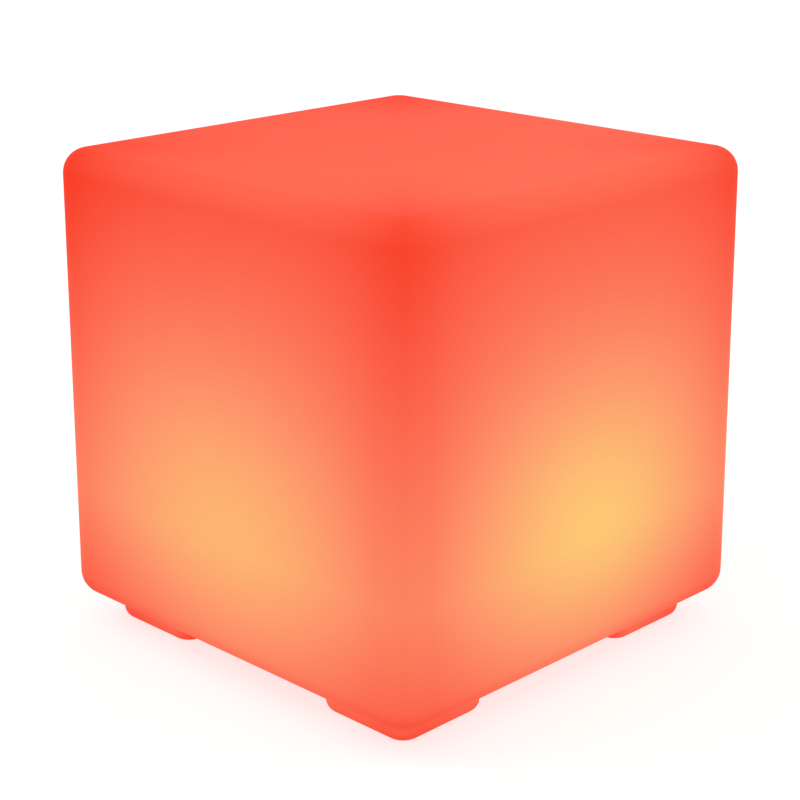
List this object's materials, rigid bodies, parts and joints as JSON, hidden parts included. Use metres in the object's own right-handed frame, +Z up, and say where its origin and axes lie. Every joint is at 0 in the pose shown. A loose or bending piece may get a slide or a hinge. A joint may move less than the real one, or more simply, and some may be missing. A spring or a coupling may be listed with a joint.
{
  "type": "led cube light",
  "caption": "Cordless glowing cube for gardens and porches: a hollow moulded cube on feet, lit by a sealed light module screwed into its underside.",
  "frame": {"origin": "on the floor under the middle of the cube, level with the soles of its feet", "axes": "+Z up, walls square to X and Y; the control panel in the underside lies towards -Y"},
  "size_m": [0.396, 0.396, 0.4],
  "materials": {
    "polyethylene": "translucent rotomoulded polyethylene, lit red from inside",
    "brass": "turned brass",
    "silicone": "moulded silicone",
    "silicone_black": "moulded silicone",
    "screw_steel": "stainless steel",
    "housing_abs": "moulded, fine spark texture",
    "button_abs": "moulded, satin",
    "switch_nylon": "moulded",
    "circuit_board": "solder mask on glass epoxy",
    "clear_acrylic": "polished acrylic",
    "led_epoxy": "tinted epoxy",
    "jack_nylon": "moulded",
    "nickel_plate": "nickel plated",
    "cell_sleeve": "shrink sleeve",
    "chip_epoxy": "moulded epoxy",
    "capacitor_sleeve": "shrink sleeve on aluminium",
    "ferrite": "pressed ferrite",
    "connector_nylon": "moulded",
    "aluminium_extrusion": "mill finish",
    "white_board": "white solder mask on aluminium",
    "led_package": "moulded package with clear resin",
    "frosted_polycarbonate": "frosted",
    "wire_pvc": "extruded jacket"
  },
  "bodies": {
    "cube": {"cube_shell": "polyethylene", "insert_nuts": "brass", "flange_gasket": "silicone", "flange_screws": "screw_steel", "module_housing": "housing_abs", "push_switch": "switch_nylon", "switch_board": "circuit_board", "switch_board_screws": "screw_steel", "indicator_lens": "clear_acrylic", "indicator_led": "led_epoxy", "charge_jack": "jack_nylon", "jack_pin": "nickel_plate", "jack_washer": "silicone_black", "jack_nut": "nickel_plate", "jack_terminals": "nickel_plate", "port_cover_anchor": "silicone_black", "battery_cells": "cell_sleeve", "battery_saddle": "housing_abs", "battery_tabs": "nickel_plate", "battery_guard_board": "circuit_board", "battery_straps": "housing_abs", "strap_screws": "screw_steel", "control_board": "circuit_board", "board_chips": "chip_epoxy", "board_capacitors": "capacitor_sleeve", "board_inductor": "ferrite", "board_connectors": "connector_nylon", "board_screws": "screw_steel", "deck_gasket": "silicone", "lamp_deck": "housing_abs", "lamp_post": "aluminium_extrusion", "post_screws": "screw_steel", "light_strips": "white_board", "light_chips": "led_package", "hub_board": "white_board", "post_cap": "housing_abs", "cap_screws": "screw_steel", "cover_gasket": "silicone", "lamp_cover": "frosted_polycarbonate", "cover_screws": "screw_steel", "battery_leads": "wire_pvc", "switch_leads": "wire_pvc", "jack_leads": "wire_pvc", "lamp_leads": "wire_pvc"},
    "button": {"button_cap": "button_abs", "button_o_ring": "silicone_black", "switch_plunger": "switch_nylon"},
    "port_flap": {"port_cover": "silicone_black"}
  },
  "joints": [
    {"name": "button_press", "type": "slide", "parent": "cube", "child": "button", "axis": [0, 0, 1], "range_m": [0, 0.0015], "stiffness_N_per_m": 1300},
    {"name": "port_flap_swing", "type": "hinge", "parent": "cube", "child": "port_flap", "pos_m": [-0.02, -0.026, 0.0265], "axis": [0, 1, 0], "range_deg": [0, 120]}
  ]
}
